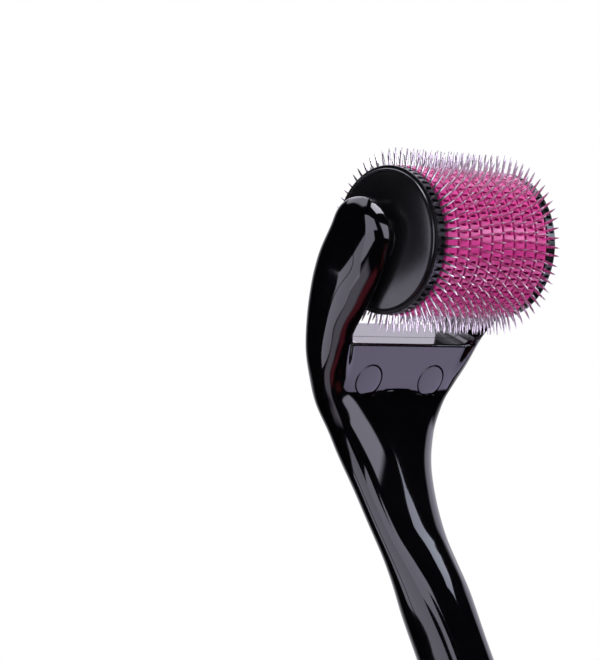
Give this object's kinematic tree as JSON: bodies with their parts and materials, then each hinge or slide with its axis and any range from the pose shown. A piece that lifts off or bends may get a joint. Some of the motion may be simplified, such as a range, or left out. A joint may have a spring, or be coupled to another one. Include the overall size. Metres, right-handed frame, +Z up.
{
  "type": "derma roller",
  "caption": "Hand-held skin roller: a spinning drum of fine steel needle discs and slotted spacer rings, carried on an axle in the leaning fork of a slender two-shell handle.",
  "frame": {"origin": "bottom centre of the object's box: level with the lowest point of the butt, midway between the fork arms and midway front to back; the axle centre is 129 mm above it and 0.6 mm behind it", "axes": "+X along the axle to the right, +Z up along the upright handle, -Y towards the drum's working side"},
  "size_m": [0.0342, 0.0422, 0.142],
  "materials": {
    "handle_black": "piano-gloss moulded black plastic",
    "cover_black": "gloss moulded black plastic, slightly softer than the handle",
    "cap_black": "satin moulded black plastic",
    "core_black": "matte moulded black plastic",
    "ring_pink": "gloss moulded pink plastic, slightly translucent",
    "needle_steel": "etched stainless sheet, bright edges",
    "axle_steel": "ground steel pin",
    "fastener_steel": "plain zinc-bright steel"
  },
  "bodies": {
    "handle": {"handle_front_shell": "handle_black", "handle_back_shell": "handle_black", "screw_cover_left": "cover_black", "screw_cover_right": "cover_black", "neck_screw_left": "fastener_steel", "neck_screw_right": "fastener_steel", "axle_pin": "axle_steel"},
    "roller": {"drum_core": "core_black", "needle_disc_01": "needle_steel", "needle_disc_02": "needle_steel", "needle_disc_03": "needle_steel", "needle_disc_04": "needle_steel", "needle_disc_05": "needle_steel", "needle_disc_06": "needle_steel", "needle_disc_07": "needle_steel", "needle_disc_08": "needle_steel", "needle_disc_09": "needle_steel", "needle_disc_10": "needle_steel", "spacer_ring_01": "ring_pink", "spacer_ring_02": "ring_pink", "spacer_ring_03": "ring_pink", "spacer_ring_04": "ring_pink", "spacer_ring_05": "ring_pink", "spacer_ring_06": "ring_pink", "spacer_ring_07": "ring_pink", "spacer_ring_08": "ring_pink", "spacer_ring_09": "ring_pink", "end_cap_left": "cap_black", "end_cap_right": "cap_black"}
  },
  "joints": [
    {"name": "roller_spin", "type": "hinge", "parent": "handle", "child": "roller", "pos_m": [0, 0.0006, 0.129], "axis": [1, 0, 0], "continuous": true}
  ]
}
